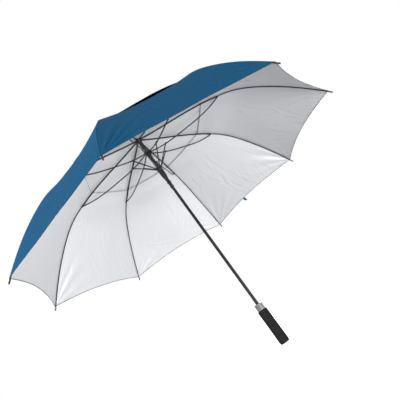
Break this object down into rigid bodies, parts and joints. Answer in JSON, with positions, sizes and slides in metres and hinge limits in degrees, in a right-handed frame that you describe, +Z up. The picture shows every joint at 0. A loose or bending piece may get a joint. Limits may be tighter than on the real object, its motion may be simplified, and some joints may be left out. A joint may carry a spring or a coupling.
{
  "type": "golf umbrella",
  "caption": "Open automatic golf umbrella: faceted double canopy with a wind vent on folding ribs, a straight shaft, a grip with a release button and a spike ferrule.",
  "frame": {"origin": "centre of the flat end of the handle", "axes": "+Z up the shaft towards the ferrule; ribs stand at multiples of 45 degrees from +X; the picture looks from the -Y side, from below the canopy"},
  "size_m": [1.3018, 1.3018, 1.004],
  "materials": {
    "black_steel": "satin black paint",
    "black_plastic": "glossy black moulding",
    "grip_rubber": "matt black",
    "chrome_collar": "bright chrome",
    "spring_steel": "black spring steel",
    "blue_fabric": "blue polyester, silver coated inside",
    "rib_rod": "black glass fibre rod"
  },
  "bodies": {
    "frame": {"shaft": "black_steel", "top_notch": "black_plastic", "ferrule": "black_plastic", "ferrule_ring": "black_plastic", "canopy_washer": "black_plastic", "vent_canopy": "blue_fabric", "tie_strap": "blue_fabric", "handle_core": "black_plastic", "end_plug": "black_plastic", "handle_grip": "grip_rubber", "handle_collar": "chrome_collar", "gore_1": "blue_fabric", "gore_2": "blue_fabric", "gore_3": "blue_fabric", "gore_4": "blue_fabric", "gore_5": "blue_fabric", "gore_6": "blue_fabric", "gore_7": "blue_fabric", "gore_8": "blue_fabric"},
    "lower_runner": {"lower_runner": "black_plastic", "opening_spring": "spring_steel"},
    "upper_runner": {"upper_runner": "black_plastic"},
    "button": {"release_button": "black_plastic"},
    "rib_inner_1": {"rib_inner_1": "black_steel"},
    "rib_outer_1": {"rib_outer_1": "rib_rod"},
    "stretcher_1": {"stretcher_1": "black_steel"},
    "strut_1": {"strut_1": "black_steel"},
    "rib_inner_2": {"rib_inner_2": "black_steel"},
    "rib_outer_2": {"rib_outer_2": "rib_rod"},
    "stretcher_2": {"stretcher_2": "black_steel"},
    "strut_2": {"strut_2": "black_steel"},
    "rib_inner_3": {"rib_inner_3": "black_steel"},
    "rib_outer_3": {"rib_outer_3": "rib_rod"},
    "stretcher_3": {"stretcher_3": "black_steel"},
    "strut_3": {"strut_3": "black_steel"},
    "rib_inner_4": {"rib_inner_4": "black_steel"},
    "rib_outer_4": {"rib_outer_4": "rib_rod"},
    "stretcher_4": {"stretcher_4": "black_steel"},
    "strut_4": {"strut_4": "black_steel"},
    "rib_inner_5": {"rib_inner_5": "black_steel"},
    "rib_outer_5": {"rib_outer_5": "rib_rod"},
    "stretcher_5": {"stretcher_5": "black_steel"},
    "strut_5": {"strut_5": "black_steel"},
    "rib_inner_6": {"rib_inner_6": "black_steel"},
    "rib_outer_6": {"rib_outer_6": "rib_rod"},
    "stretcher_6": {"stretcher_6": "black_steel"},
    "strut_6": {"strut_6": "black_steel"},
    "rib_inner_7": {"rib_inner_7": "black_steel"},
    "rib_outer_7": {"rib_outer_7": "rib_rod"},
    "stretcher_7": {"stretcher_7": "black_steel"},
    "strut_7": {"strut_7": "black_steel"},
    "rib_inner_8": {"rib_inner_8": "black_steel"},
    "rib_outer_8": {"rib_outer_8": "rib_rod"},
    "stretcher_8": {"stretcher_8": "black_steel"},
    "strut_8": {"strut_8": "black_steel"}
  },
  "joints": [
    {"name": "fold", "type": "slide", "parent": "frame", "child": "lower_runner", "axis": [0, 0, -1], "range_m": [0, 0.53845], "stiffness_N_per_m": 40, "springref_m": -0.2, "deforming": ["opening_spring", "vent_canopy", "gore_1", "gore_2", "gore_3", "gore_4", "gore_5", "gore_6", "gore_7", "gore_8", "tie_strap"]},
    {"name": "upper_slide", "type": "slide", "parent": "frame", "child": "upper_runner", "axis": [0, 0, -1], "range_m": [0, 0.59289]},
    {"name": "rib_pivot_1", "type": "hinge", "parent": "frame", "child": "rib_inner_1", "pos_m": [0.012, 0, 0.907], "axis": [0, 1, 0], "range_deg": [0, 76.88]},
    {"name": "rib_bend_1", "type": "hinge", "parent": "rib_inner_1", "child": "rib_outer_1", "pos_m": [0.337, 0, 0.8415], "axis": [0, -1, 0], "range_deg": [0, 27.26]},
    {"name": "stretcher_pivot_1", "type": "hinge", "parent": "upper_runner", "child": "stretcher_1", "pos_m": [0.0106, 0.0039, 0.8423], "axis": [0, -1, 0], "range_deg": [0, 88.14]},
    {"name": "strut_pivot_1", "type": "hinge", "parent": "lower_runner", "child": "strut_1", "pos_m": [0.0106, 0, 0.7636], "axis": [0, -1, 0], "range_deg": [0, 36.28]},
    {"name": "rib_pivot_2", "type": "hinge", "parent": "frame", "child": "rib_inner_2", "pos_m": [0.00848, 0.00848, 0.907], "axis": [-0.7071, 0.7071, 0], "range_deg": [0, 76.88]},
    {"name": "rib_bend_2", "type": "hinge", "parent": "rib_inner_2", "child": "rib_outer_2", "pos_m": [0.2383, 0.2383, 0.8415], "axis": [0.7071, -0.7071, 0], "range_deg": [0, 27.26]},
    {"name": "stretcher_pivot_2", "type": "hinge", "parent": "upper_runner", "child": "stretcher_2", "pos_m": [0.00474, 0.01025, 0.8423], "axis": [0.7071, -0.7071, 0], "range_deg": [0, 88.14]},
    {"name": "strut_pivot_2", "type": "hinge", "parent": "lower_runner", "child": "strut_2", "pos_m": [0.00749, 0.00749, 0.7636], "axis": [0.7071, -0.7071, 0], "range_deg": [0, 36.28]},
    {"name": "rib_pivot_3", "type": "hinge", "parent": "frame", "child": "rib_inner_3", "pos_m": [0, 0.012, 0.907], "axis": [-1, 0, 0], "range_deg": [0, 76.88]},
    {"name": "rib_bend_3", "type": "hinge", "parent": "rib_inner_3", "child": "rib_outer_3", "pos_m": [0, 0.337, 0.8415], "axis": [1, 0, 0], "range_deg": [0, 27.26]},
    {"name": "stretcher_pivot_3", "type": "hinge", "parent": "upper_runner", "child": "stretcher_3", "pos_m": [-0.0039, 0.0106, 0.8423], "axis": [1, 0, 0], "range_deg": [0, 88.14]},
    {"name": "strut_pivot_3", "type": "hinge", "parent": "lower_runner", "child": "strut_3", "pos_m": [0, 0.0106, 0.7636], "axis": [1, 0, 0], "range_deg": [0, 36.28]},
    {"name": "rib_pivot_4", "type": "hinge", "parent": "frame", "child": "rib_inner_4", "pos_m": [-0.00848, 0.00848, 0.907], "axis": [-0.7071, -0.7071, 0], "range_deg": [0, 76.88]},
    {"name": "rib_bend_4", "type": "hinge", "parent": "rib_inner_4", "child": "rib_outer_4", "pos_m": [-0.2383, 0.2383, 0.8415], "axis": [0.7071, 0.7071, 0], "range_deg": [0, 27.26]},
    {"name": "stretcher_pivot_4", "type": "hinge", "parent": "upper_runner", "child": "stretcher_4", "pos_m": [-0.01025, 0.00474, 0.8423], "axis": [0.7071, 0.7071, 0], "range_deg": [0, 88.14]},
    {"name": "strut_pivot_4", "type": "hinge", "parent": "lower_runner", "child": "strut_4", "pos_m": [-0.00749, 0.00749, 0.7636], "axis": [0.7071, 0.7071, 0], "range_deg": [0, 36.28]},
    {"name": "rib_pivot_5", "type": "hinge", "parent": "frame", "child": "rib_inner_5", "pos_m": [-0.012, 0, 0.907], "axis": [0, -1, 0], "range_deg": [0, 76.88]},
    {"name": "rib_bend_5", "type": "hinge", "parent": "rib_inner_5", "child": "rib_outer_5", "pos_m": [-0.337, 0, 0.8415], "axis": [0, 1, 0], "range_deg": [0, 27.26]},
    {"name": "stretcher_pivot_5", "type": "hinge", "parent": "upper_runner", "child": "stretcher_5", "pos_m": [-0.0106, -0.0039, 0.8423], "axis": [0, 1, 0], "range_deg": [0, 88.14]},
    {"name": "strut_pivot_5", "type": "hinge", "parent": "lower_runner", "child": "strut_5", "pos_m": [-0.0106, 0, 0.7636], "axis": [0, 1, 0], "range_deg": [0, 36.28]},
    {"name": "rib_pivot_6", "type": "hinge", "parent": "frame", "child": "rib_inner_6", "pos_m": [-0.00848, -0.00848, 0.907], "axis": [0.7071, -0.7071, 0], "range_deg": [0, 76.88]},
    {"name": "rib_bend_6", "type": "hinge", "parent": "rib_inner_6", "child": "rib_outer_6", "pos_m": [-0.2383, -0.2383, 0.8415], "axis": [-0.7071, 0.7071, 0], "range_deg": [0, 27.26]},
    {"name": "stretcher_pivot_6", "type": "hinge", "parent": "upper_runner", "child": "stretcher_6", "pos_m": [-0.00474, -0.01025, 0.8423], "axis": [-0.7071, 0.7071, 0], "range_deg": [0, 88.14]},
    {"name": "strut_pivot_6", "type": "hinge", "parent": "lower_runner", "child": "strut_6", "pos_m": [-0.00749, -0.00749, 0.7636], "axis": [-0.7071, 0.7071, 0], "range_deg": [0, 36.28]},
    {"name": "rib_pivot_7", "type": "hinge", "parent": "frame", "child": "rib_inner_7", "pos_m": [0, -0.012, 0.907], "axis": [1, 0, 0], "range_deg": [0, 76.88]},
    {"name": "rib_bend_7", "type": "hinge", "parent": "rib_inner_7", "child": "rib_outer_7", "pos_m": [0, -0.337, 0.8415], "axis": [-1, 0, 0], "range_deg": [0, 27.26]},
    {"name": "stretcher_pivot_7", "type": "hinge", "parent": "upper_runner", "child": "stretcher_7", "pos_m": [0.0039, -0.0106, 0.8423], "axis": [-1, 0, 0], "range_deg": [0, 88.14]},
    {"name": "strut_pivot_7", "type": "hinge", "parent": "lower_runner", "child": "strut_7", "pos_m": [0, -0.0106, 0.7636], "axis": [-1, 0, 0], "range_deg": [0, 36.28]},
    {"name": "rib_pivot_8", "type": "hinge", "parent": "frame", "child": "rib_inner_8", "pos_m": [0.00848, -0.00848, 0.907], "axis": [0.7071, 0.7071, 0], "range_deg": [0, 76.88]},
    {"name": "rib_bend_8", "type": "hinge", "parent": "rib_inner_8", "child": "rib_outer_8", "pos_m": [0.2383, -0.2383, 0.8415], "axis": [-0.7071, -0.7071, 0], "range_deg": [0, 27.26]},
    {"name": "stretcher_pivot_8", "type": "hinge", "parent": "upper_runner", "child": "stretcher_8", "pos_m": [0.01025, -0.00474, 0.8423], "axis": [-0.7071, -0.7071, 0], "range_deg": [0, 88.14]},
    {"name": "strut_pivot_8", "type": "hinge", "parent": "lower_runner", "child": "strut_8", "pos_m": [0.00749, -0.00749, 0.7636], "axis": [-0.7071, -0.7071, 0], "range_deg": [0, 36.28]},
    {"name": "press", "type": "slide", "parent": "frame", "child": "button", "axis": [0, -1, 0], "range_m": [0, 0.002], "stiffness_N_per_m": 800, "springref_m": -0.001}
  ],
  "couplings": [
    {"joint": "upper_slide", "follows": "fold", "ratio": 1.1011},
    {"joint": "rib_pivot_1", "follows": "fold", "rad_per_m": 2.4919},
    {"joint": "rib_bend_1", "follows": "fold", "rad_per_m": 0.88347},
    {"joint": "stretcher_pivot_1", "follows": "fold", "rad_per_m": 2.8569},
    {"joint": "strut_pivot_1", "follows": "fold", "rad_per_m": 1.1761},
    {"joint": "rib_pivot_2", "follows": "fold", "rad_per_m": 2.4919},
    {"joint": "rib_bend_2", "follows": "fold", "rad_per_m": 0.88347},
    {"joint": "stretcher_pivot_2", "follows": "fold", "rad_per_m": 2.8569},
    {"joint": "strut_pivot_2", "follows": "fold", "rad_per_m": 1.1761},
    {"joint": "rib_pivot_3", "follows": "fold", "rad_per_m": 2.4919},
    {"joint": "rib_bend_3", "follows": "fold", "rad_per_m": 0.88347},
    {"joint": "stretcher_pivot_3", "follows": "fold", "rad_per_m": 2.8569},
    {"joint": "strut_pivot_3", "follows": "fold", "rad_per_m": 1.1761},
    {"joint": "rib_pivot_4", "follows": "fold", "rad_per_m": 2.4919},
    {"joint": "rib_bend_4", "follows": "fold", "rad_per_m": 0.88347},
    {"joint": "stretcher_pivot_4", "follows": "fold", "rad_per_m": 2.8569},
    {"joint": "strut_pivot_4", "follows": "fold", "rad_per_m": 1.1761},
    {"joint": "rib_pivot_5", "follows": "fold", "rad_per_m": 2.4919},
    {"joint": "rib_bend_5", "follows": "fold", "rad_per_m": 0.88347},
    {"joint": "stretcher_pivot_5", "follows": "fold", "rad_per_m": 2.8569},
    {"joint": "strut_pivot_5", "follows": "fold", "rad_per_m": 1.1761},
    {"joint": "rib_pivot_6", "follows": "fold", "rad_per_m": 2.4919},
    {"joint": "rib_bend_6", "follows": "fold", "rad_per_m": 0.88347},
    {"joint": "stretcher_pivot_6", "follows": "fold", "rad_per_m": 2.8569},
    {"joint": "strut_pivot_6", "follows": "fold", "rad_per_m": 1.1761},
    {"joint": "rib_pivot_7", "follows": "fold", "rad_per_m": 2.4919},
    {"joint": "rib_bend_7", "follows": "fold", "rad_per_m": 0.88347},
    {"joint": "stretcher_pivot_7", "follows": "fold", "rad_per_m": 2.8569},
    {"joint": "strut_pivot_7", "follows": "fold", "rad_per_m": 1.1761},
    {"joint": "rib_pivot_8", "follows": "fold", "rad_per_m": 2.4919},
    {"joint": "rib_bend_8", "follows": "fold", "rad_per_m": 0.88347},
    {"joint": "stretcher_pivot_8", "follows": "fold", "rad_per_m": 2.8569},
    {"joint": "strut_pivot_8", "follows": "fold", "rad_per_m": 1.1761}
  ]
}
